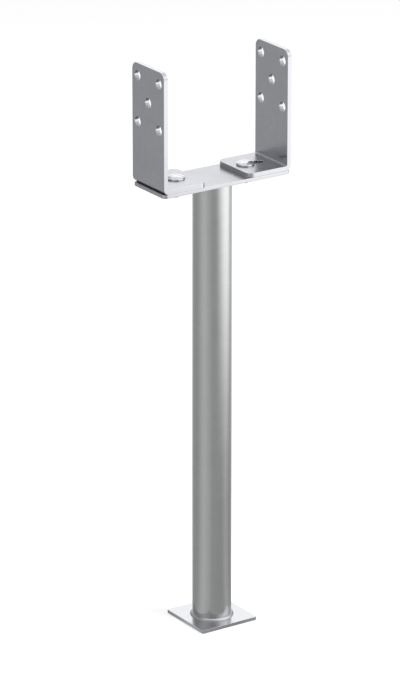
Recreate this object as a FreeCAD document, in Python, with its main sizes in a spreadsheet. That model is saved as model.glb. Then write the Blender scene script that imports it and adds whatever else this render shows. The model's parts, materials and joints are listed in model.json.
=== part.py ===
"""Adjustable timber post base: two sliding angles on a head plate, a round stem and a foot plate.

Millimetres, +Z up. The origin is the middle of the foot plate's underside. X runs along the head
plate, from the left angle to the right angle, and Y runs across it. The timber stands between the
upright legs of the angles. A cup-head bolt clamps each angle through a slot in its flange, so that
the gap between the legs can be set. The foot and most of the stem are cast into concrete.
"""
import FreeCAD, Part
import math
import os

import Sketcher
from FreeCAD import Placement, Rotation, Vector

SIZES = {
    # Foot plate
    "foot_side": 70.0,
    "foot_thick": 4.0,
    "foot_corner": 1.0,
    "drain_dia": 10.0,
    # Stem
    "tube_dia": 42.4,
    "tube_wall": 3.2,
    "tube_length": 496.0,
    "foot_weld_leg": 2.5,
    "head_weld_leg": 2.5,
    # Head plate
    "head_length": 160.0,
    "head_width": 60.0,
    "head_thick": 4.0,
    "head_corner": 5.0,
    # Angles, folded from sheet
    "sheet_thick": 5.0,
    "bend_inside": 1.5,
    "leg_height": 131.5,
    "flange_length": 54.0,
    "sheet_corner": 8.0,
    # Bolt holes in the legs
    "hole_dia": 11.0,
    "hole_pitch_across": 40.0,
    "hole_pitch_up": 50.0,
    "hole_to_leg_top": 13.5,
    # Slots in the flanges, and where each bolt stands in its slot
    "slot_from_leg": 15.5,
    "slot_end_margin": 8.5,
    "left_bolt_in_slot": 11.5,
    "right_bolt_in_slot": 7.5,
    # Cup-head square-neck bolts, plain washers and hexagon nuts
    "bolt_dia": 8.0,
    "bolt_clearance": 1.0,
    "cup_dia": 20.0,
    "cup_height": 4.2,
    "cup_dome_radius": 14.0,
    "neck_relief": 0.9,
    "thread_past_nut": 2.9,
    "thread_chamfer": 0.8,
    "thread_clearance": 0.1,
    "washer_dia": 16.0,
    "washer_thick": 1.6,
    "washer_clearance": 0.4,
    "nut_flats": 13.0,
    "nut_height": 6.5,
    "nut_face_inset": 0.3,
}
NUT_CHAMFER_ANGLE = math.radians(30.0)
ROOT_3 = math.sqrt(3.0)


class Size:
    """A length held twice: as a number to draw with and as an expression to bind with."""

    def __init__(self, number, text):
        self.number = number
        self.text = text

    def joined(self, sign, other, number):
        text = other.text if isinstance(other, Size) else repr(float(other))
        return Size(number, f"({self.text} {sign} {text})")

    def __add__(self, other):
        return self.joined("+", other, self.number + number_of(other))

    def __sub__(self, other):
        return self.joined("-", other, self.number - number_of(other))

    def __mul__(self, other):
        return self.joined("*", other, self.number * number_of(other))

    def __truediv__(self, other):
        return self.joined("/", other, self.number / number_of(other))

    def __neg__(self):
        return self * -1.0


def number_of(item):
    return item.number if isinstance(item, Size) else float(item)


# ---------------------------------------------------------------- document and driving sizes

doc = FreeCAD.newDocument("TimberPostBase")
sheet = doc.addObject("Spreadsheet::Sheet", "Sizes")
size = {}
for row, (name, number) in enumerate(SIZES.items(), start=1):
    sheet.set(f"A{row}", name)
    sheet.set(f"B{row}", str(number))
    sheet.setAlias(f"B{row}", name)
    size[name] = Size(number, f"Sizes.{name}")
doc.recompute()

ZERO = Size(0.0, "0.0")

# Levels along Z
tube_foot_z = size["foot_thick"]
head_under_z = tube_foot_z + size["tube_length"]
head_top_z = head_under_z + size["head_thick"]
cup_seat_z = head_top_z + size["sheet_thick"]

# In each angle's own frame, x runs inwards from the leg's outer face
slot_near_x = size["slot_from_leg"]
slot_far_x = size["flange_length"] - size["slot_end_margin"]
slot_width = size["bolt_dia"] + size["bolt_clearance"]
left_bolt_inset = slot_far_x - size["left_bolt_in_slot"]
right_bolt_inset = slot_far_x - size["right_bolt_in_slot"]

# The legs' outer faces are flush with the ends of the head plate
half_head = size["head_length"] / 2
left_bolt_x = left_bolt_inset - half_head
right_bolt_x = half_head - right_bolt_inset


# ---------------------------------------------------------------- bodies and sketches


def new_body(name, x=ZERO, z=ZERO, turn=0.0):
    """A body on the Y = 0 plane at X, Z, turned about its own Z axis."""
    body = doc.addObject("PartDesign::Body", name)
    body.Label = name
    body.Placement = Placement(Vector(x.number, 0.0, z.number), Rotation(Vector(0, 0, 1), turn))
    body.setExpression("Placement.Base.x", x.text)
    body.setExpression("Placement.Base.z", z.text)
    return body


def new_sketch(body, name, role):
    """A sketch on one of the body's own origin planes."""
    plane = next(item for item in body.Origin.OriginFeatures if item.Role == role)
    sketch = body.newObject("Sketcher::SketchObject", f"{body.Name}_{name}")
    sketch.AttachmentSupport = [(plane, "")]
    sketch.MapMode = "FlatFace"
    return sketch


def dimension(sketch, kind, places, length):
    """One sketch dimension, bound to the sheet."""
    number = sketch.addConstraint(Sketcher.Constraint(kind, *places, length.number))
    sketch.setExpression(f"Constraints[{number}]", length.text)


def locate(sketch, curve, point, x, y):
    """Places one point of a curve from the sketch's origin."""
    for kind, axis, length in (("DistanceX", -2, x), ("DistanceY", -1, y)):
        if length is ZERO:
            sketch.addConstraint(Sketcher.Constraint("PointOnObject", curve, point, axis))
        else:
            dimension(sketch, kind, (-1, 1, curve, point), length)


def at(x, y):
    return Vector(number_of(x), number_of(y), 0.0)


def draw_outline(sketch, corners, closed=True):
    """Straight sides from corner to corner, each corner located. Returns the sides' numbers."""
    ends = corners[1:] + corners[:1] if closed else corners[1:]
    sides = []
    for start, end in zip(corners, ends):
        sides.append(sketch.addGeometry(Part.LineSegment(at(*start), at(*end)), False))
    for before, after in zip(sides, sides[1:]):
        sketch.addConstraint(Sketcher.Constraint("Coincident", before, 2, after, 1))
    if closed:
        sketch.addConstraint(Sketcher.Constraint("Coincident", sides[-1], 2, sides[0], 1))
    for side, start in zip(sides, corners):
        locate(sketch, side, 1, *start)
    if not closed:
        locate(sketch, sides[-1], 2, *corners[-1])
    return sides


def draw_rectangle(sketch, length, width):
    """A rectangle about the sketch's origin."""
    x = length / 2
    y = width / 2
    draw_outline(sketch, [(-x, -y), (x, -y), (x, y), (-x, y)])


def draw_circle(sketch, x, y, diameter):
    circle = Part.Circle(at(x, y), Vector(0, 0, 1), diameter.number / 2)
    curve = sketch.addGeometry(circle, False)
    locate(sketch, curve, 3, x, y)
    dimension(sketch, "Diameter", (curve,), diameter)


def draw_slot(sketch, x_near, x_far, width):
    """A round-ended slot along X between its two outermost points."""
    radius = width / 2
    centres = (x_near + radius, x_far - radius)
    turns = ((math.pi / 2, 1.5 * math.pi), (-math.pi / 2, math.pi / 2))
    caps = []
    for centre, turn in zip(centres, turns):
        circle = Part.Circle(at(centre, ZERO), Vector(0, 0, 1), radius.number)
        cap = sketch.addGeometry(Part.ArcOfCircle(circle, *turn), False)
        locate(sketch, cap, 3, centre, ZERO)
        caps.append(cap)
    for cap_point, side in ((1, 1.0), (2, -1.0)):
        y = side * radius.number
        line = sketch.addGeometry(Part.LineSegment(at(centres[0], y), at(centres[1], y)), False)
        sketch.addConstraint(Sketcher.Constraint("Tangent", line, 1, caps[0], cap_point))
        sketch.addConstraint(Sketcher.Constraint("Tangent", line, 2, caps[1], 3 - cap_point))
    dimension(sketch, "Radius", (caps[0],), radius)


def close_with_arc(sketch, first, last, centre):
    """Closes an open chain of sides with an arc that turns left about a rough centre."""
    start = sketch.getPoint(last, 2)
    end = sketch.getPoint(first, 1)
    middle = Vector(number_of(centre[0]), number_of(centre[1]), 0.0)
    angles = [math.atan2(point.y - middle.y, point.x - middle.x) for point in (start, end)]
    circle = Part.Circle(middle, Vector(0, 0, 1), (start - middle).Length)
    arc = sketch.addGeometry(Part.ArcOfCircle(circle, angles[0], angles[1]), False)
    sketch.addConstraint(Sketcher.Constraint("Coincident", last, 2, arc, 1))
    sketch.addConstraint(Sketcher.Constraint("Coincident", arc, 2, first, 1))
    return arc


# ---------------------------------------------------------------- features


def add_pad(body, sketch, length, side="One side", downwards=False):
    pad = body.newObject("PartDesign::Pad", f"{sketch.Name}_pad")
    pad.Profile = sketch
    pad.SideType = side
    pad.Reversed = downwards
    pad.setExpression("Length", length.text)
    return pad


def add_cut(body, sketch):
    """A cut through everything on the positive side of the sketch."""
    doc.recompute()
    whole = body.Shape.Volume
    pocket = body.newObject("PartDesign::Pocket", f"{sketch.Name}_cut")
    pocket.Profile = sketch
    pocket.Type = "ThroughAll"
    pocket.Reversed = True
    doc.recompute()
    if not body.Shape.Volume < whole:
        raise RuntimeError(f"{pocket.Name} removes nothing")
    return pocket


def add_turned(body, kind, sketch):
    """A revolution or a groove about the body's Z axis."""
    turned = body.newObject(kind, f"{sketch.Name}_turned")
    turned.Profile = sketch
    turned.ReferenceAxis = (sketch, ["V_Axis"])
    turned.Angle = 360.0
    return turned


def add_fillet(body, name, wanted, radius):
    """Rounds the straight edges of the body whose middle and direction are wanted."""
    doc.recompute()
    base = body.Tip
    names = []
    for number, edge in enumerate(base.Shape.Edges, start=1):
        if not isinstance(edge.Curve, Part.Line):
            continue
        ends = [vertex.Point for vertex in edge.Vertexes]
        if wanted((ends[0] + ends[1]) * 0.5, (ends[1] - ends[0]).normalize()):
            names.append(f"Edge{number}")
    fillet = body.newObject("PartDesign::Fillet", f"{body.Name}_{name}")
    fillet.Base = (base, names)
    fillet.setExpression("Radius", radius.text)
    return fillet


def runs_along(direction, axis):
    return abs(getattr(direction, axis)) > 0.999


def near(value, length):
    return abs(value - length.number) < 0.01


# ---------------------------------------------------------------- foot, stem and head


def make_foot_plate():
    """A square plate, with a drain hole that empties the stem when it is dipped in zinc."""
    body = new_body("foot_plate")
    outline = new_sketch(body, "outline", "XY_Plane")
    draw_rectangle(outline, size["foot_side"], size["foot_side"])
    add_pad(body, outline, size["foot_thick"])
    add_fillet(body, "corners", lambda middle, way: runs_along(way, "z"), size["foot_corner"])
    drain = new_sketch(body, "drain", "XY_Plane")
    draw_circle(drain, ZERO, ZERO, size["drain_dia"])
    add_cut(body, drain)
    return body


def make_tube():
    body = new_body("tube", z=tube_foot_z)
    section = new_sketch(body, "section", "XY_Plane")
    draw_circle(section, ZERO, ZERO, size["tube_dia"])
    draw_circle(section, ZERO, ZERO, size["tube_dia"] - size["tube_wall"] * 2)
    add_pad(body, section, size["tube_length"])
    return body


def make_weld(name, z, leg, upwards):
    """A flat-faced fillet weld round the tube, with two equal legs."""
    body = new_body(name, z=z)
    section = new_sketch(body, "section", "XZ_Plane")
    radius = size["tube_dia"] / 2
    tip = leg if upwards else -leg
    corners = [(radius, tip), (radius, ZERO), (radius + leg, ZERO)]
    if not upwards:
        corners.reverse()
    draw_outline(section, corners)
    add_turned(body, "PartDesign::Revolution", section)
    return body


def make_head_plate():
    """The plate on the stem, with one clearance hole for each clamping bolt."""
    body = new_body("head_plate", z=head_under_z)
    outline = new_sketch(body, "outline", "XY_Plane")
    draw_rectangle(outline, size["head_length"], size["head_width"])
    add_pad(body, outline, size["head_thick"])
    add_fillet(body, "corners", lambda middle, way: runs_along(way, "z"), size["head_corner"])
    holes = new_sketch(body, "bolt_holes", "XY_Plane")
    for bolt_x in (left_bolt_x, right_bolt_x):
        draw_circle(holes, bolt_x, ZERO, slot_width)
    add_cut(body, holes)
    return body


# ---------------------------------------------------------------- angles


def make_angle(name, x, turn):
    """An angle folded from sheet, drawn with the leg's outer face on x = 0 and the flange on z = 0."""
    body = new_body(name, x=x, z=head_top_z, turn=turn)
    thick = size["sheet_thick"]
    reach = size["flange_length"]
    top = size["leg_height"]
    half_width = size["head_width"] / 2

    profile = new_sketch(body, "profile", "XZ_Plane")
    flange_end = [(ZERO, ZERO), (reach, ZERO), (reach, thick)]
    leg_end = [(thick, thick), (thick, top), (ZERO, top)]
    draw_outline(profile, flange_end + leg_end)
    add_pad(body, profile, size["head_width"], side="Symmetric")

    def outside_bend(middle, way):
        return runs_along(way, "y") and near(middle.x, ZERO) and near(middle.z, ZERO)

    def inside_bend(middle, way):
        return runs_along(way, "y") and near(middle.x, thick) and near(middle.z, thick)

    def free_corner(middle, way):
        on_leg = runs_along(way, "x") and near(middle.z, top)
        on_flange = runs_along(way, "z") and near(middle.x, reach)
        return (on_leg or on_flange) and near(abs(middle.y), half_width)

    add_fillet(body, "outside_bend", outside_bend, size["bend_inside"] + thick)
    add_fillet(body, "inside_bend", inside_bend, size["bend_inside"])
    add_fillet(body, "corners", free_corner, size["sheet_corner"])

    slot = new_sketch(body, "slot", "XY_Plane")
    draw_slot(slot, slot_near_x, slot_far_x, slot_width)
    add_cut(body, slot)

    holes = new_sketch(body, "holes", "YZ_Plane")
    across = size["hole_pitch_across"] / 2
    top_row = top - size["hole_to_leg_top"]
    low_row = top_row - size["hole_pitch_up"]
    middle_row = top_row - size["hole_pitch_up"] / 2
    corner_places = [(y, z) for z in (top_row, low_row) for y in (-across, across)]
    for y, z in corner_places + [(ZERO, middle_row)]:
        draw_circle(holes, y, z, size["hole_dia"])
    add_cut(body, holes)
    return body


# ---------------------------------------------------------------- clamping bolts


def make_bolt(name, x):
    """A cup-head bolt. Its square neck sits in the flange's slot and can't turn there."""
    body = new_body(name, x=x, z=cup_seat_z)
    shank = size["bolt_dia"] / 2
    cup = size["cup_dia"] / 2
    crown = size["cup_height"]
    grip = size["sheet_thick"] + size["head_thick"] + size["washer_thick"] + size["nut_height"]
    end_z = -(grip + size["thread_past_nut"])
    chamfer = size["thread_chamfer"]

    # The dome reaches half its radius out, where its slope is 30 degrees and a straight skirt goes on
    dome_radius = size["cup_dome_radius"]
    dome_edge = dome_radius / 2
    dome_edge_z = crown - dome_radius * (1 - ROOT_3 / 2)
    rim = dome_edge_z - (cup - dome_edge) / ROOT_3

    section = new_sketch(body, "section", "XZ_Plane")
    corners = [(ZERO, crown), (ZERO, end_z), (shank - chamfer, end_z), (shank, end_z + chamfer)]
    corners += [(shank, ZERO), (cup, ZERO), (cup, rim), (dome_edge, dome_edge_z)]
    sides = draw_outline(section, corners, closed=False)
    dome = close_with_arc(section, sides[0], sides[-1], (0.0, crown.number - dome_radius.number))
    section.addConstraint(Sketcher.Constraint("PointOnObject", dome, 3, -2))
    add_turned(body, "PartDesign::Revolution", section)

    neck = new_sketch(body, "neck", "XY_Plane")
    draw_rectangle(neck, size["bolt_dia"], size["bolt_dia"])
    add_pad(body, neck, size["sheet_thick"] - size["neck_relief"], downwards=True)
    return body


def make_washer(name, x):
    body = new_body(name, x=x, z=head_under_z)
    ring = new_sketch(body, "ring", "XY_Plane")
    draw_circle(ring, ZERO, ZERO, size["washer_dia"])
    draw_circle(ring, ZERO, ZERO, size["bolt_dia"] + size["washer_clearance"])
    add_pad(body, ring, size["washer_thick"], downwards=True)
    return body


def make_nut(name, x):
    """A hexagon nut under the washer, its corners turned off at both faces."""
    height = size["nut_height"]
    body = new_body(name, x=x, z=head_under_z - size["washer_thick"] - height)
    flats = size["nut_flats"]
    corner = flats / ROOT_3
    hexagon = new_sketch(body, "hexagon", "XY_Plane")
    upper = [(corner, ZERO), (corner / 2, flats / 2), (-(corner / 2), flats / 2)]
    lower = [(-corner, ZERO), (-(corner / 2), -(flats / 2)), (corner / 2, -(flats / 2))]
    draw_outline(hexagon, upper + lower)
    draw_circle(hexagon, ZERO, ZERO, size["bolt_dia"] + size["thread_clearance"])
    add_pad(body, hexagon, height)

    chamfers = new_sketch(body, "chamfers", "XZ_Plane")
    face = flats / 2 - size["nut_face_inset"]
    fall = (flats - face) * math.tan(NUT_CHAMFER_ANGLE)
    draw_outline(chamfers, [(face, ZERO), (flats, ZERO), (flats, fall)])
    draw_outline(chamfers, [(face, height), (flats, height), (flats, height - fall)])
    add_turned(body, "PartDesign::Groove", chamfers)
    return body


# ---------------------------------------------------------------- assembly


def write_parts(bodies):
    """Checks every object and shape, then writes one file for each body."""
    doc.recompute()
    for item in doc.Objects:
        if "Invalid" in item.State or "Error" in item.State:
            raise RuntimeError(f"{item.Name} is {item.State}")
    for body in bodies:
        if body.Shape.isNull() or not body.Shape.isValid() or len(body.Shape.Solids) != 1:
            raise RuntimeError(f"{body.Label} is not one valid solid")
    os.makedirs("parts", exist_ok=True)
    for body in bodies:
        body.Shape.exportStep(f"parts/{body.Label}.step")
        print(body.Label, round(body.Shape.Volume, 1))


bodies = [
    make_foot_plate(),
    make_tube(),
    make_weld("foot_weld", tube_foot_z, size["foot_weld_leg"], upwards=True),
    make_weld("head_weld", head_under_z, size["head_weld_leg"], upwards=False),
    make_head_plate(),
    make_angle("left_angle", -half_head, 0.0),
    make_angle("right_angle", half_head, 180.0),
]
for side, bolt_x in (("left", left_bolt_x), ("right", right_bolt_x)):
    bodies.append(make_bolt(f"{side}_bolt", bolt_x))
    bodies.append(make_washer(f"{side}_washer", bolt_x))
    bodies.append(make_nut(f"{side}_nut", bolt_x))
write_parts(bodies)
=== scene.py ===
"""Looks for the adjustable timber post base: zinc-coated steel on a pale studio floor.

Metres, +Z up, in the same frame as the solids: the foot stands on z = 0 and the stem on the Z axis.
"""
import json
import math

import bpy
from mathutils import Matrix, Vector


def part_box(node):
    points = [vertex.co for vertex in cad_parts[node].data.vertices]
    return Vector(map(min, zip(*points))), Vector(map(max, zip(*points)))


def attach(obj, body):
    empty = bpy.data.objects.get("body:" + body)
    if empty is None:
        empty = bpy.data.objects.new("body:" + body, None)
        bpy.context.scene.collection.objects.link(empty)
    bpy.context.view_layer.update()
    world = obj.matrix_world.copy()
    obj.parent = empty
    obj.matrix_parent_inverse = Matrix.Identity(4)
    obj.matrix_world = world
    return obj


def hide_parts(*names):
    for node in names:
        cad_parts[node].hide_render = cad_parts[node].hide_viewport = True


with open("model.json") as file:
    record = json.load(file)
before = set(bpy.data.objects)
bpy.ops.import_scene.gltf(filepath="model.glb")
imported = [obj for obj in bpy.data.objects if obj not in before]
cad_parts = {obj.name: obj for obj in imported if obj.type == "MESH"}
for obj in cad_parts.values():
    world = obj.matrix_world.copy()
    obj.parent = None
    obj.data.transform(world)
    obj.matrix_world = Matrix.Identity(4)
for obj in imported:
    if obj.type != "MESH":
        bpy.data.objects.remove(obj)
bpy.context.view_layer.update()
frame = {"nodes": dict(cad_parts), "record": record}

MM = 0.001


# ---------------------------------------------------------------- camera

CAMERA_AZIMUTH = math.radians(33.64)
CAMERA_ELEVATION = math.radians(19.91)
CAMERA_DISTANCE = 4.7519
CAMERA_AIM = Vector((-0.04185, -0.03979, 0.34451))
CAMERA_LENS = 241.77
CAMERA_SENSOR = 36.0
CAMERA_NEAR = 0.1
CAMERA_FAR = 50.0


def add_camera():
    data = bpy.data.cameras.new("camera")
    data.lens = CAMERA_LENS
    data.sensor_width = CAMERA_SENSOR
    data.clip_start = CAMERA_NEAR
    data.clip_end = CAMERA_FAR
    camera = bpy.data.objects.new("camera", data)
    bpy.context.scene.collection.objects.link(camera)
    flat = math.cos(CAMERA_ELEVATION)
    back = Vector((
        -math.sin(CAMERA_AZIMUTH) * flat,
        -math.cos(CAMERA_AZIMUTH) * flat,
        math.sin(CAMERA_ELEVATION),
    ))
    camera.location = CAMERA_AIM + back * CAMERA_DISTANCE
    camera.rotation_euler = (-back).to_track_quat("-Z", "Y").to_euler()
    bpy.context.scene.camera = camera


# ---------------------------------------------------------------- node helpers

# A mix node's sockets for colours
MIX_FIRST = 6
MIX_SECOND = 7
MIX_RESULT = 2


class Tree:
    """A node tree with short calls to add and join nodes."""

    def __init__(self, owner):
        owner.use_nodes = True
        self.tree = owner.node_tree
        self.tree.nodes.clear()

    def add(self, kind, **settings):
        """A new node. A setting is one of its properties, or else the value of one of its sockets."""
        node = self.tree.nodes.new(kind)
        for name, value in settings.items():
            if hasattr(node, name):
                setattr(node, name, value)
            else:
                node.inputs[name.replace("_", " ")].default_value = value
        return node

    def join(self, source, target):
        self.tree.links.new(source, target)

    def feed(self, socket, value):
        """Joins another node to the socket, or sets a plain number or colour on it."""
        if isinstance(value, bpy.types.NodeSocket):
            self.join(value, socket)
        else:
            socket.default_value = value

    def maths(self, operation, *values):
        node = self.add("ShaderNodeMath", operation=operation)
        for socket, value in zip(node.inputs, values):
            self.feed(socket, value)
        return node.outputs[0]

    def weighted_sum(self, *parts):
        """The sum of the sources, each times its own share."""
        products = [self.maths("MULTIPLY", source, share) for source, share in parts]
        total = products[0]
        for product in products[1:]:
            total = self.maths("ADD", total, product)
        return total

    def smooth_rise(self, source, low, high):
        """0 where the source is at low, 1 where it is at high, and smooth between."""
        node = self.add("ShaderNodeMapRange", interpolation_type="SMOOTHSTEP")
        node.inputs["From Min"].default_value = low
        node.inputs["From Max"].default_value = high
        self.join(source, node.inputs["Value"])
        return node.outputs[0]

    def mix(self, share, first, second):
        """The first colour where the share is 0, and the second where it is 1."""
        node = self.add("ShaderNodeMix", data_type="RGBA")
        self.join(share, node.inputs["Factor"])
        self.feed(node.inputs[MIX_FIRST], first)
        self.feed(node.inputs[MIX_SECOND], second)
        return node.outputs[MIX_RESULT]

    def ramp(self, source, stops):
        """Shades of grey along the source, from (place, shade) stops."""
        node = self.tree.nodes.new("ShaderNodeValToRGB")
        elements = node.color_ramp.elements
        while len(elements) > 1:
            elements.remove(elements[-1])
        elements[0].position, shade = stops[0]
        elements[0].color = (shade, shade, shade, 1.0)
        for position, shade in stops[1:]:
            elements.new(position).color = (shade, shade, shade, 1.0)
        self.join(source, node.inputs[0])
        return node.outputs[0]

    def seen_straight(self):
        """1 for what the eye or the metal looks at, also through glass, and 0 for matt bounces."""
        path = self.add("ShaderNodeLightPath")
        seen = self.maths("MAXIMUM", path.outputs["Is Camera Ray"], path.outputs["Is Glossy Ray"])
        return self.maths("MAXIMUM", seen, path.outputs["Is Transmission Ray"])


# ---------------------------------------------------------------- studio

WHITE = (1.0, 1.0, 1.0, 1.0)
# How bright the studio is for matt surfaces, where the eye and the metal see it at 1
MATT_STUDIO = 0.6

FLOOR_SIDE = 12.0
FLOOR_TONE = (0.8, 0.8, 0.8, 1.0)
FLOOR_ROUGHNESS = 0.9
# The floor's own light, for the eye and the metal alone
FLOOR_GLOW = 0.35


def add_world():
    """A white studio: the same white for the eye and for the metal, less for matt surfaces."""
    world = bpy.data.worlds.new("studio")
    bpy.context.scene.world = world
    tree = Tree(world)
    strength = tree.maths("MULTIPLY_ADD", tree.seen_straight(), 1.0 - MATT_STUDIO, MATT_STUDIO)
    background = tree.add("ShaderNodeBackground", Color=WHITE)
    output = tree.add("ShaderNodeOutputWorld")
    tree.join(strength, background.inputs["Strength"])
    tree.join(background.outputs[0], output.inputs[0])


def floor_material():
    material = bpy.data.materials.new("pale_floor")
    tree = Tree(material)
    glow = tree.maths("MULTIPLY", tree.seen_straight(), FLOOR_GLOW)
    surface = tree.add("ShaderNodeBsdfPrincipled", Roughness=FLOOR_ROUGHNESS)
    surface.inputs["Base Color"].default_value = FLOOR_TONE
    surface.inputs["Specular IOR Level"].default_value = 0.0
    surface.inputs["Emission Color"].default_value = WHITE
    tree.join(glow, surface.inputs["Emission Strength"])
    output = tree.add("ShaderNodeOutputMaterial")
    tree.join(surface.outputs[0], output.inputs[0])
    return material


def add_floor():
    bpy.ops.object.select_all(action="DESELECT")
    bpy.ops.mesh.primitive_plane_add(size=FLOOR_SIDE, location=(0.0, 0.0, 0.0))
    floor = bpy.context.object
    floor.name = "floor"
    floor.data.materials.append(floor_material())


TENT_RADIUS = 0.60
TENT_TOP = 1.2
TENT_SIDES = 128
# The tent's own floor card lies this far above the studio floor
CARD_Z = 0.3 * MM
# Brightness round the tent, high up and low down, against the turn from -X through -Y, +X and +Y
HIGH_BANDS = [
    (0.000, 0.60), (0.035, 0.63), (0.100, 0.52), (0.164, 0.40), (0.212, 0.41), (0.245, 0.51),
    (0.278, 0.76), (0.350, 1.32), (0.390, 1.46), (0.434, 1.42), (0.462, 1.20), (0.495, 0.75),
    (0.570, 0.65), (0.625, 1.54), (0.690, 1.54), (0.740, 0.55), (0.822, 0.385), (0.900, 0.40),
    (0.950, 0.49), (1.000, 0.60),
]
LOW_BANDS = [
    (0.000, 0.55), (0.035, 0.58), (0.100, 0.50), (0.164, 0.39), (0.245, 0.37), (0.313, 0.36),
    (0.390, 0.50), (0.434, 0.45), (0.495, 0.33), (0.570, 0.50), (0.740, 0.45), (0.822, 0.37),
    (0.900, 0.37), (0.950, 0.45), (1.000, 0.55),
]
# The low bands give way to the high ones between these heights
BANDS_LOW_Z = -0.10
BANDS_HIGH_Z = 0.33
# The floor card is read as if it went on down the wall at this slope
CARD_SLOPE = 0.36
# These bands take over from both, between the two heights under them
TOP_BANDS = [
    (0.000, 0.60), (0.035, 0.63), (0.100, 0.52), (0.164, 0.40), (0.212, 0.45), (0.245, 0.70),
    (0.278, 1.25), (0.310, 1.50), (0.434, 1.50), (0.462, 1.25), (0.495, 0.75), (0.570, 0.70),
    (0.625, 1.45), (0.690, 1.45), (0.740, 0.55), (0.822, 0.385), (0.900, 0.40), (0.950, 0.49),
    (1.000, 0.60),
]
TOP_FROM_Z = 0.29
TOP_TO_Z = 0.37
# A dimmer strip runs round the wall at the height that the head plate's top reflects
DIM_STRIP = [(0.58, 1.0), (0.64, 0.67), (0.76, 0.67), (0.80, 1.0)]


def tent_material():
    material = bpy.data.materials.new("tent_cloth")
    tree = Tree(material)
    place = tree.add("ShaderNodeTexCoord").outputs["Object"]
    around = tree.add("ShaderNodeTexGradient", gradient_type="RADIAL")
    tree.join(place, around.inputs["Vector"])
    turn = around.outputs["Fac"]
    split = tree.add("ShaderNodeSeparateXYZ")
    tree.join(place, split.inputs[0])
    height = split.outputs["Z"]
    squares = [tree.maths("MULTIPLY", split.outputs[axis], split.outputs[axis]) for axis in "XY"]
    radius = tree.maths("SQRT", tree.maths("ADD", *squares))
    drop = tree.maths("MULTIPLY", tree.maths("SUBTRACT", TENT_RADIUS, radius), CARD_SLOPE)

    rise = tree.smooth_rise(tree.maths("SUBTRACT", height, drop), BANDS_LOW_Z, BANDS_HIGH_Z)
    bands = tree.mix(rise, tree.ramp(turn, LOW_BANDS), tree.ramp(turn, HIGH_BANDS))
    rise = tree.smooth_rise(height, TOP_FROM_Z, TOP_TO_Z)
    bands = tree.mix(rise, bands, tree.ramp(turn, TOP_BANDS))
    glow = tree.add("ShaderNodeEmission")
    tree.join(bands, glow.inputs["Color"])
    tree.join(tree.ramp(height, DIM_STRIP), glow.inputs["Strength"])
    output = tree.add("ShaderNodeOutputMaterial")
    tree.join(glow.outputs[0], output.inputs[0])
    return material


def add_tent():
    """A round light tent that only the metal sees. Its bands shape the reflections."""
    bpy.ops.object.select_all(action="DESELECT")
    bpy.ops.mesh.primitive_cylinder_add(
        vertices=TENT_SIDES,
        radius=TENT_RADIUS,
        depth=TENT_TOP - CARD_Z,
        location=(0.0, 0.0, (TENT_TOP + CARD_Z) / 2),
    )
    bpy.ops.object.transform_apply(location=True)
    tent = bpy.context.object
    tent.name = "light_tent"
    edit_faces(tent, lambda face: face.center.z > TENT_TOP - MM)
    bpy.ops.mesh.delete(type="FACE")
    bpy.ops.object.mode_set(mode="OBJECT")
    tent.data.materials.append(tent_material())
    for ray in ("camera", "diffuse", "transmission", "volume_scatter", "shadow"):
        setattr(tent, f"visible_{ray}", False)


LAMP_SIDE = 1.6
LAMP_AIM = Vector((0.0, 0.0, 0.3))


def add_lamp(name, place, power):
    """A square soft lamp that lights matt surfaces and is seen neither by the eye nor by the metal."""
    data = bpy.data.lights.new(name, "AREA")
    data.size = LAMP_SIDE
    data.energy = power
    lamp = bpy.data.objects.new(name, data)
    bpy.context.scene.collection.objects.link(lamp)
    lamp.location = place
    lamp.rotation_euler = (LAMP_AIM - Vector(place)).to_track_quat("-Z", "Y").to_euler()
    lamp.visible_camera = False
    lamp.visible_glossy = False


# ---------------------------------------------------------------- zinc finishes


class Finish:
    """One zinc coat: its two tones, its roughness, and how fine its marks are."""

    def __init__(self, name, dull, bright, roughness, cloud, crystal, streak=None):
        self.name = name
        self.dull = (*dull, 1.0)
        self.bright = (*bright, 1.0)
        self.roughness = roughness
        self.cloud = cloud
        self.crystal = crystal
        self.streak = streak


FINISHES = [
    Finish(
        "plate_zinc", dull=(0.565, 0.575, 0.60), bright=(0.645, 0.655, 0.68),
        roughness=0.25, cloud=28.0, crystal=150.0,
    ),
    Finish(
        "tube_zinc", dull=(0.575, 0.582, 0.584), bright=(0.655, 0.662, 0.664),
        roughness=0.16, cloud=22.0, crystal=120.0, streak=(420.0, 420.0, 5.0),
    ),
    Finish(
        "weld_zinc", dull=(0.50, 0.51, 0.53), bright=(0.64, 0.65, 0.67),
        roughness=0.22, cloud=160.0, crystal=420.0,
    ),
    Finish(
        "angle_zinc", dull=(0.575, 0.585, 0.62), bright=(0.655, 0.665, 0.70),
        roughness=0.26, cloud=26.0, crystal=150.0,
    ),
    Finish(
        "fastener_zinc", dull=(0.62, 0.63, 0.65), bright=(0.72, 0.73, 0.75),
        roughness=0.14, cloud=180.0, crystal=600.0,
    ),
]
RUBBED_ZINC = (0.74, 0.75, 0.77, 1.0)
# Painted shade: the dark tone laid on the walls of the legs' holes
HOLE_SHADE_ZINC = (0.22, 0.225, 0.235, 1.0)

CLOUD_DETAIL = 4.0
CLOUD_ROUGHNESS = 0.55
STREAK_DETAIL = 3.0
GRAIN_SCALE = 1400.0
GRAIN_DETAIL = 2.0
# What each kind of mark adds to the turn from the dull tone to the bright one
CLOUD_SHARE = 0.65
CRYSTAL_SHARE = 0.22
STREAK_SHARE = 0.30
GRAIN_SHARE = 0.10
# How far a worn edge goes to rubbed zinc, and a hole wall to the dark tone of its painted shade
RUBBED_SHARE = 0.55
HOLE_SHADE_SHARE = 0.9
# With no marks a coat has this share of its roughness, and full marks add this share
UNMARKED_ROUGH = 0.7
MARKED_ROUGHER = 0.6
# A worn edge loses this share of its roughness, and a hole wall with painted shade gains this much
EDGE_POLISH = 0.25
WALL_ROUGHENING = 0.25
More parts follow.
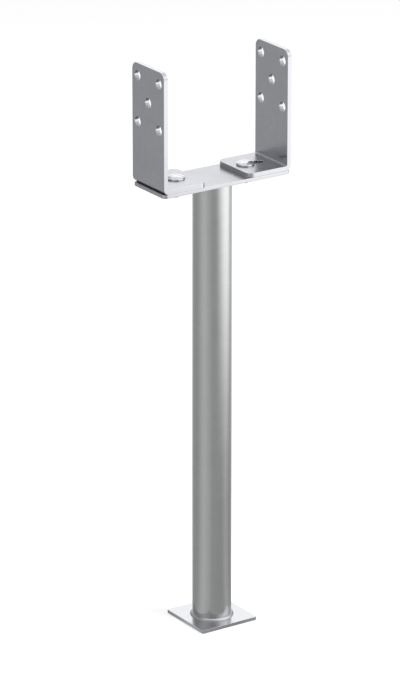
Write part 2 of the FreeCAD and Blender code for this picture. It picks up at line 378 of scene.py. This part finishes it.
# The relief: how much of it is cloud and how much grain, how strong it is and how deep
RELIEF_CLOUD = 0.6
RELIEF_GRAIN = 0.05
RELIEF_STRENGTH = 0.35
RELIEF_DEPTH = 0.02 * MM


def zinc_material(finish):
    """Zinc over steel: cloudy tone, faint crystals, fine grain, and edges rubbed brighter."""
    material = bpy.data.materials.new(finish.name)
    tree = Tree(material)
    place = tree.add("ShaderNodeTexCoord").outputs["Object"]

    cloud = tree.add("ShaderNodeTexNoise", Scale=finish.cloud, Detail=CLOUD_DETAIL)
    cloud.inputs["Roughness"].default_value = CLOUD_ROUGHNESS
    tree.join(place, cloud.inputs["Vector"])
    crystal = tree.add("ShaderNodeTexVoronoi", Scale=finish.crystal, Randomness=1.0)
    tree.join(place, crystal.inputs["Vector"])
    facet = tree.add("ShaderNodeSeparateColor")
    tree.join(crystal.outputs["Color"], facet.inputs[0])
    grain = tree.add("ShaderNodeTexNoise", Scale=GRAIN_SCALE, Detail=GRAIN_DETAIL)
    tree.join(place, grain.inputs["Vector"])
    worn = tree.add("ShaderNodeAttribute", attribute_name="worn_edge").outputs["Fac"]
    # Painted shade on the walls of the legs' holes, read from a face mask
    hole_shade = tree.add("ShaderNodeAttribute", attribute_name="painted_hole_shade").outputs["Fac"]

    parts = [(cloud.outputs["Fac"], CLOUD_SHARE), (facet.outputs[0], CRYSTAL_SHARE)]
    if finish.streak:
        drawn = tree.add("ShaderNodeMapping", Scale=finish.streak)
        tree.join(place, drawn.inputs["Vector"])
        lines = tree.add("ShaderNodeTexNoise", Scale=1.0, Detail=STREAK_DETAIL)
        tree.join(drawn.outputs[0], lines.inputs["Vector"])
        parts.append((lines.outputs["Fac"], STREAK_SHARE))
    parts.append((grain.outputs["Fac"], GRAIN_SHARE))
    marks = tree.weighted_sum(*parts)

    tone = tree.mix(marks, finish.dull, finish.bright)
    tone = tree.mix(tree.maths("MULTIPLY", worn, RUBBED_SHARE), tone, RUBBED_ZINC)
    # Painted shade darkens the walls of the legs' holes
    tone = tree.mix(tree.maths("MULTIPLY", hole_shade, HOLE_SHADE_SHARE), tone, HOLE_SHADE_ZINC)

    unmarked = finish.roughness * UNMARKED_ROUGH
    by_marks = finish.roughness * MARKED_ROUGHER
    rough = tree.maths("MULTIPLY_ADD", marks, by_marks, unmarked)
    left_rough = tree.maths("SUBTRACT", 1.0, tree.maths("MULTIPLY", worn, EDGE_POLISH))
    rough = tree.maths("MULTIPLY", rough, left_rough)
    rough = tree.maths("ADD", rough, tree.maths("MULTIPLY", hole_shade, WALL_ROUGHENING))

    parts = [(cloud.outputs["Fac"], RELIEF_CLOUD), (grain.outputs["Fac"], RELIEF_GRAIN)]
    relief = tree.weighted_sum(*parts)
    bump = tree.add("ShaderNodeBump", Strength=RELIEF_STRENGTH, Distance=RELIEF_DEPTH)
    tree.join(relief, bump.inputs["Height"])

    surface = tree.add("ShaderNodeBsdfPrincipled", Metallic=1.0)
    tree.join(tone, surface.inputs["Base Color"])
    tree.join(rough, surface.inputs["Roughness"])
    tree.join(bump.outputs[0], surface.inputs["Normal"])
    output = tree.add("ShaderNodeOutputMaterial")
    tree.join(surface.outputs[0], output.inputs[0])
    return material


# ---------------------------------------------------------------- handwork

# Points nearer to each other than this are one point
SAME_POINT = 0.003 * MM
# The same for a solid's loose triangles, and the turn under which two of them lie in one face
SAME_CORNER = 0.002 * MM
SAME_PLANE = math.radians(0.3)
# Only edges that turn more sharply than this are eased
EASE_TURN = math.radians(30.0)
EASE_STEPS = 3

# A leg's holes lie further than this above the angle's underside, below its top and in from its sides
HOLES_ABOVE = 30 * MM
HOLES_BELOW_TOP = 4 * MM
HOLES_IN_FROM_SIDE = 3 * MM
# A hole's wall runs through the leg, so its normal leans along X by less than this
WALL_FACING = 0.3
# The upper wall faces down more than this, and the lower wall faces up more than this
UPPER_WALL_FACING = -0.2
LOWER_WALL_FACING = 0.35
# How much painted shade the upper and the lower wall of a hole get
UPPER_WALL_SHADE = 1.0
LOWER_WALL_SHADE = 0.5


def pick(piece):
    """Makes the piece the only selected one, and the active one."""
    bpy.ops.object.select_all(action="DESELECT")
    piece.select_set(True)
    bpy.context.view_layer.objects.active = piece


def edit_parts(piece, mode, kind, wanted):
    """Opens the piece in edit mode with only the wanted parts of one kind selected."""
    pick(piece)
    bpy.ops.object.mode_set(mode="EDIT")
    bpy.ops.mesh.select_mode(type=mode)
    bpy.ops.mesh.select_all(action="DESELECT")
    bpy.ops.object.mode_set(mode="OBJECT")
    for part in getattr(piece.data, kind):
        part.select = wanted(part)
    bpy.ops.object.mode_set(mode="EDIT")


def edit_faces(piece, wanted):
    edit_parts(piece, "FACE", "polygons", wanted)


def edit_points(piece, wanted):
    edit_parts(piece, "VERT", "vertices", wanted)


def merge_points():
    """Merges the picked piece's points that lie on each other."""
    bpy.ops.object.mode_set(mode="EDIT")
    bpy.ops.mesh.select_all(action="SELECT")
    bpy.ops.mesh.remove_doubles(threshold=SAME_POINT)
    bpy.ops.mesh.dissolve_degenerate(threshold=SAME_POINT / 2)
    bpy.ops.object.mode_set(mode="OBJECT")


def ease_edges(piece, width):
    """Rounds the sharp edges, marks them as worn, and keeps the flat faces flat in the light."""
    pick(piece)
    # Two empty material slots tell the plain faces from the eased ones
    piece.data.materials.clear()
    for _ in range(2):
        piece.data.materials.append(None)
    eased = piece.modifiers.new("eased", "BEVEL")
    eased.width = width
    eased.segments = EASE_STEPS
    eased.limit_method = "ANGLE"
    eased.angle_limit = EASE_TURN
    eased.material = 1
    bpy.ops.object.modifier_apply(modifier="eased")
    merge_points()
    worn = piece.data.attributes.new("worn_edge", "FLOAT", "FACE")
    for face in piece.data.polygons:
        worn.data[face.index].value = float(face.material_index)
        face.material_index = 0
    bpy.ops.object.shade_smooth()
    flat = piece.modifiers.new("flat_faces", "WEIGHTED_NORMAL")
    flat.keep_sharp = False
    bpy.ops.object.modifier_apply(modifier="flat_faces")


def eased_copy(node, name, width):
    """The solid's own shape with its triangles merged into whole faces and its edges eased."""
    piece = bpy.data.objects.new(name, frame["nodes"][node].data.copy())
    bpy.context.scene.collection.objects.link(piece)
    pick(piece)
    bpy.ops.object.mode_set(mode="EDIT")
    bpy.ops.mesh.select_all(action="SELECT")
    bpy.ops.mesh.remove_doubles(threshold=SAME_CORNER)
    bpy.ops.mesh.dissolve_limited(angle_limit=SAME_PLANE)
    bpy.ops.object.mode_set(mode="OBJECT")
    ease_edges(piece, width)
    return piece


def mark_hole_wall_shade(piece, node):
    """Marks the painted shade on the walls of the leg's holes: full on the upper walls, half on the
    lower.
    """
    low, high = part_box(node)
    from_z = low[2] + HOLES_ABOVE
    to_z = high[2] - HOLES_BELOW_TOP
    within_y = high[1] - HOLES_IN_FROM_SIDE
    hole_shade = piece.data.attributes.new("painted_hole_shade", "FLOAT", "FACE")
    for face in piece.data.polygons:
        place = face.center
        in_leg = from_z < place.z < to_z and abs(place.y) < within_y
        if in_leg and abs(face.normal.x) < WALL_FACING:
            if face.normal.z < UPPER_WALL_FACING:
                hole_shade.data[face.index].value = UPPER_WALL_SHADE
            elif face.normal.z > LOWER_WALL_FACING:
                hole_shade.data[face.index].value = LOWER_WALL_SHADE


def copy_of(piece, name):
    """A second piece of the same shape, with a mesh of its own."""
    twin = bpy.data.objects.new(name, piece.data.copy())
    bpy.context.scene.collection.objects.link(twin)
    pick(twin)
    return twin


def turned_bead(foot_bead, name):
    """The bead under the head: the foot's own bead turned over and raised to the head plate."""
    bead = copy_of(foot_bead, name)
    bpy.ops.transform.rotate(value=math.pi, orient_axis="X", center_override=(0.0, 0.0, 0.0))
    foot_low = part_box("foot_weld")[0]
    head_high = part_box("head_weld")[1]
    bpy.ops.transform.translate(value=(0.0, 0.0, head_high[2] + foot_low[2]))
    bpy.ops.object.transform_apply(location=True, rotation=True)
    return bead


def moved_bolt(left_bolt, name):
    """The right bolt: the left one's twin, set on the right bolt's own place."""
    bolt = copy_of(left_bolt, name)
    left_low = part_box("left_bolt")[0]
    right_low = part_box("right_bolt")[0]
    bpy.ops.transform.translate(value=(right_low[0] - left_low[0], 0.0, 0.0))
    bpy.ops.object.transform_apply(location=True)
    return bolt


def finish_piece(piece, node, slot):
    """Gives the piece its zinc, and sets it in the place of its solid, on the same body."""
    piece.data.materials.clear()
    piece.data.materials.append(zinc[slot])
    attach(piece, rides_on[node])
    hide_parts(node)


# ---------------------------------------------------------------- weld beads

RIPPLES = 84
RIPPLE_STEPS = 4
FULL_TURN = 2 * math.pi
RIPPLE_RISE = 0.16 * MM
# How much of the full rise each inner step of a ripple gets
CREST_SHARES = [(1, 0.55), (2, 1.0), (3, 0.75)]
# A point belongs to a step if it is nearer to it than this share of a ripple
STEP_NEAR = 1 / 20
# The square's outer corner is looked for within this share of the leg
TOE_NEAR = 1 / 4
# Points nearer to the steel than this share of the leg stay where they are
STAYS_ON_STEEL = 0.12
# The bead's face: the share of the leg that it spans, its steps and its swell (flat would be 0.25)
FACE_SPAN = 0.97
FACE_STEPS = 6
FACE_SWELL = 0.32
RIPPLES_MEET = 0.01 * MM
BEAD_SMOOTH_UNDER = math.radians(40)


def rippled_bead(node, name):
    """A fillet bead round the stem's foot: one ripple is modelled, then spun round."""
    low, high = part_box(node)
    leg = high[2] - low[2]
    root_z = low[2]
    toe_x = high[0]
    tube_radius = toe_x - leg
    toe_z = root_z + leg
    bpy.ops.object.select_all(action="DESELECT")
    bpy.ops.mesh.primitive_plane_add(
        size=leg,
        location=(tube_radius + leg / 2, 0.0, root_z + leg / 2),
        rotation=(math.pi / 2, 0.0, 0.0),
    )
    bead = bpy.context.object
    bead.name = name
    bpy.ops.object.transform_apply(location=True, rotation=True)

    def at_toe(point):
        near = leg * TOE_NEAR
        return abs(point.co.x - toe_x) < near and abs(point.co.z - toe_z) < near

    edit_points(bead, at_toe)
    bpy.ops.mesh.bevel(
        offset=leg * FACE_SPAN, segments=FACE_STEPS, affect="VERTICES", profile=FACE_SWELL
    )
    bpy.ops.mesh.select_all(action="SELECT")
    bpy.ops.mesh.delete(type="ONLY_FACE")
    bpy.ops.mesh.select_all(action="SELECT")
    bpy.ops.mesh.spin(
        steps=RIPPLE_STEPS, angle=FULL_TURN / RIPPLES, center=(0.0, 0.0, 0.0), axis=(0.0, 0.0, 1.0)
    )
    bpy.ops.object.mode_set(mode="OBJECT")

    # The crest of the ripple: outer points of the middle steps are raised off the steel
    pitch = FULL_TURN / RIPPLES
    clear = STAYS_ON_STEEL * leg

    def on_crest(point, middle):
        turn = math.atan2(point.co.y, point.co.x) % FULL_TURN
        aside = min(abs(turn - middle), abs(FULL_TURN - turn - middle))
        outside = math.hypot(point.co.x, point.co.y) > tube_radius + clear
        return aside < pitch * STEP_NEAR and outside and point.co.z > root_z + clear

    for step, share in CREST_SHARES:
        middle = step * pitch / RIPPLE_STEPS
        edit_points(bead, lambda point: on_crest(point, middle))
        swell = 1.0 + share * RIPPLE_RISE / tube_radius
        bpy.ops.transform.resize(value=(swell, swell, 1.0), center_override=(0.0, 0.0, root_z))
        bpy.ops.object.mode_set(mode="OBJECT")
    edit_points(bead, lambda point: True)
    bpy.ops.mesh.spin(
        steps=RIPPLES - 1, angle=FULL_TURN * (RIPPLES - 1) / RIPPLES, dupli=True,
        center=(0.0, 0.0, 0.0), axis=(0.0, 0.0, 1.0),
    )
    bpy.ops.mesh.select_all(action="SELECT")
    bpy.ops.mesh.remove_doubles(threshold=RIPPLES_MEET)
    bpy.ops.mesh.normals_make_consistent(inside=False)
    bpy.ops.object.mode_set(mode="OBJECT")
    bpy.ops.object.shade_smooth_by_angle(angle=BEAD_SMOOTH_UNDER)
    return bead


# ---------------------------------------------------------------- cup-head bolts

CUP_HEIGHT = 4.2 * MM
CUP_RIM = 1.6 * MM
CUP_SEGMENTS = 72
CUP_RINGS = 120
CUP_EASE = 0.6 * MM
NECK_LENGTH = 4.1 * MM
# The neck starts this far up inside the head, and ends in a step as far in as it is deep
NECK_ROOT = 2 * MM
NECK_STEP = 0.5 * MM
NECK_EASE = 0.25 * MM
SHANK_RADIUS = 4.0 * MM
SHANK_SIDES = 56
SHANK_CHAMFER = 0.8 * MM
SHANK_SMOOTH_UNDER = math.radians(25)
THREAD_PITCH = 1.25 * MM
THREAD_DEPTH = 0.62 * MM
THREAD_STEPS = 28
# The thread has whole turns, as many as come at least this close to the neck
THREAD_TO_NECK = 0.6 * MM
# The cutting V stands a little clear of the blank, and leaves a narrow crest between turns
GROOVE_CLEAR = 0.05 * MM
GROOVE_SHARE = 0.96
# Turns the blank a little, so that its facets never line up with the thread's
BLANK_TURN = math.radians(2.0)
# A face that looks straight down has a normal below this
FACING_DOWN = -0.9


def lift(distance):
    """Extrudes what is selected along Z."""
    bpy.ops.mesh.extrude_region_move(TRANSFORM_OT_translate={"value": (0.0, 0.0, distance)})


def cup_head(x, seat_z, cup_radius):
    """A low dome over an upright rim, closed underneath."""
    crown_z = seat_z + CUP_HEIGHT
    rise = CUP_HEIGHT - CUP_RIM
    dome_radius = (cup_radius ** 2 + rise ** 2) / (2 * rise)
    bpy.ops.object.select_all(action="DESELECT")
    bpy.ops.mesh.primitive_uv_sphere_add(
        segments=CUP_SEGMENTS,
        ring_count=CUP_RINGS,
        radius=dome_radius,
        location=(x, 0.0, crown_z - dome_radius),
    )
    bpy.ops.object.transform_apply(location=True)
    bpy.ops.object.mode_set(mode="EDIT")
    bpy.ops.mesh.select_all(action="SELECT")
    rim_top = (x, 0.0, seat_z + CUP_RIM)
    bpy.ops.mesh.bisect(plane_co=rim_top, plane_no=(0.0, 0.0, 1.0), clear_inner=True)
    lift(-CUP_RIM)
    bpy.ops.mesh.edge_face_add()
    bpy.ops.object.mode_set(mode="OBJECT")
    return bpy.context.object


def square_neck(x, seat_z):
    """The square under the head that the slot keeps from turning."""
    bpy.ops.object.select_all(action="DESELECT")
    side = 2 * SHANK_RADIUS
    bpy.ops.mesh.primitive_cube_add(size=side, location=(x, 0.0, seat_z - NECK_LENGTH / 2))
    neck = bpy.context.object
    bpy.ops.transform.resize(value=(1.0, 1.0, (NECK_LENGTH + NECK_ROOT) / side))
    bpy.ops.transform.translate(value=(0.0, 0.0, NECK_ROOT / 2))
    bpy.ops.object.transform_apply(location=True, scale=True)
    edit_faces(neck, lambda face: face.normal.z < FACING_DOWN)
    bpy.ops.mesh.inset(thickness=NECK_STEP)
    lift(-NECK_STEP)
    bpy.ops.object.mode_set(mode="OBJECT")
    return neck


def thread_groove(x, end_z, top_z):
    """A V with its point towards the axis, swept along a helix, for cutting the thread."""
    turns = math.ceil((top_z - end_z) / THREAD_PITCH) + 1
    # An even triangle is one and a half radii deep, and its mouth is the root of three radii wide
    radius = (THREAD_DEPTH + GROOVE_CLEAR) / 1.5
    mouth = math.sqrt(3) * radius
    bpy.ops.object.select_all(action="DESELECT")
    bpy.ops.mesh.primitive_circle_add(
        vertices=3,
        radius=radius,
        fill_type="NOTHING",
        location=(SHANK_RADIUS - THREAD_DEPTH + radius, 0.0, 0.0),
        rotation=(math.pi / 2, -math.pi / 2, 0.0),
    )
    groove = bpy.context.object
    bpy.ops.object.transform_apply(location=True, rotation=True)
    bpy.ops.transform.resize(value=(1.0, 1.0, GROOVE_SHARE * THREAD_PITCH / mouth))
    bpy.ops.object.transform_apply(scale=True)
    helix = groove.modifiers.new("helix", "SCREW")
    helix.steps = THREAD_STEPS
    helix.render_steps = THREAD_STEPS
    helix.iterations = turns
    helix.screw_offset = THREAD_PITCH
    bpy.ops.object.modifier_apply(modifier="helix")
    bpy.ops.object.mode_set(mode="EDIT")
    bpy.ops.mesh.select_all(action="SELECT")
    bpy.ops.mesh.fill_holes(sides=0)
    bpy.ops.mesh.select_all(action="SELECT")
    bpy.ops.mesh.normals_make_consistent(inside=False)
    bpy.ops.object.mode_set(mode="OBJECT")
    bpy.ops.transform.translate(value=(x, 0.0, end_z - THREAD_PITCH))
    bpy.ops.object.transform_apply(location=True)
    return groove


def threaded_shank(x, seat_z, end_z):
    """A blank with a pointed-off end, and a helical groove cut from it."""
    top_z = seat_z - NECK_LENGTH / 2
    bpy.ops.object.select_all(action="DESELECT")
    bpy.ops.mesh.primitive_cylinder_add(
        vertices=SHANK_SIDES,
        radius=SHANK_RADIUS,
        depth=top_z - end_z,
        location=(x, 0.0, (top_z + end_z) / 2),
        rotation=(0.0, 0.0, BLANK_TURN),
    )
    shank = bpy.context.object
    bpy.ops.object.transform_apply(location=True, rotation=True)
    edit_faces(shank, lambda face: face.normal.z < FACING_DOWN)
    bpy.ops.mesh.bevel(offset=SHANK_CHAMFER, segments=1, affect="EDGES")
    bpy.ops.object.mode_set(mode="OBJECT")
    groove = thread_groove(x, end_z, seat_z - NECK_LENGTH - THREAD_TO_NECK)
    cut = shank.modifiers.new("thread", "BOOLEAN")
    cut.operation = "DIFFERENCE"
    cut.solver = "EXACT"
    cut.object = groove
    pick(shank)
    bpy.ops.object.modifier_apply(modifier="thread")
    bpy.data.objects.remove(groove)
    merge_points()
    return shank


def cup_bolt(node, name):
    """One cup-head bolt: head, square neck and threaded shank, standing in each other as one piece."""
    low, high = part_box(node)
    x = (low[0] + high[0]) / 2
    seat_z = high[2] - CUP_HEIGHT
    head = cup_head(x, seat_z, (high[0] - low[0]) / 2)
    ease_edges(head, CUP_EASE)
    neck = square_neck(x, seat_z)
    ease_edges(neck, NECK_EASE)
    shank = threaded_shank(x, seat_z, low[2])
    shank.data.attributes.new("worn_edge", "FLOAT", "FACE")
    pick(shank)
    bpy.ops.object.shade_smooth_by_angle(angle=SHANK_SMOOTH_UNDER)
    pick(head)
    neck.select_set(True)
    shank.select_set(True)
    bpy.ops.object.join()
    head.name = name
    return head


# ---------------------------------------------------------------- build

EASED = [
    # node, slot, edge radius
    ("foot_plate", "plate_zinc", 0.25 * MM),
    ("head_plate", "plate_zinc", 0.4 * MM),
    ("left_angle", "angle_zinc", 0.4 * MM),
    ("right_angle", "angle_zinc", 0.4 * MM),
    ("left_washer", "fastener_zinc", 0.2 * MM),
    ("right_washer", "fastener_zinc", 0.2 * MM),
    ("left_nut", "fastener_zinc", 0.15 * MM),
    ("right_nut", "fastener_zinc", 0.15 * MM),
]

bpy.context.scene.view_settings.view_transform = "Standard"
add_camera()
add_world()
add_floor()
add_tent()
add_lamp("key", place=(1.6, -1.8, 2.2), power=60.0)
add_lamp("fill", place=(-1.8, 1.0, 2.0), power=25.0)

zinc = {finish.name: zinc_material(finish) for finish in FINISHES}
bodies = frame["record"]["behaviour"]["bodies"]
rides_on = {node: body for body, nodes in bodies.items() for node in nodes}

for node, slot, width in EASED:
    piece = eased_copy(node, node + "_zinced", width)
    if slot == "angle_zinc":
        # Painted shade on the walls of the legs' holes
        mark_hole_wall_shade(piece, node)
    finish_piece(piece, node, slot)

left_cup_bolt = cup_bolt("left_bolt", "left_cup_bolt")
right_cup_bolt = moved_bolt(left_cup_bolt, "right_cup_bolt")
finish_piece(left_cup_bolt, "left_bolt", "fastener_zinc")
finish_piece(right_cup_bolt, "right_bolt", "fastener_zinc")

foot_bead = rippled_bead("foot_weld", "foot_bead")
head_bead = turned_bead(foot_bead, "head_bead")
finish_piece(foot_bead, "foot_weld", "weld_zinc")
finish_piece(head_bead, "head_weld", "weld_zinc")

tube = frame["nodes"]["tube"]
tube.data.materials.clear()
tube.data.materials.append(zinc["tube_zinc"])
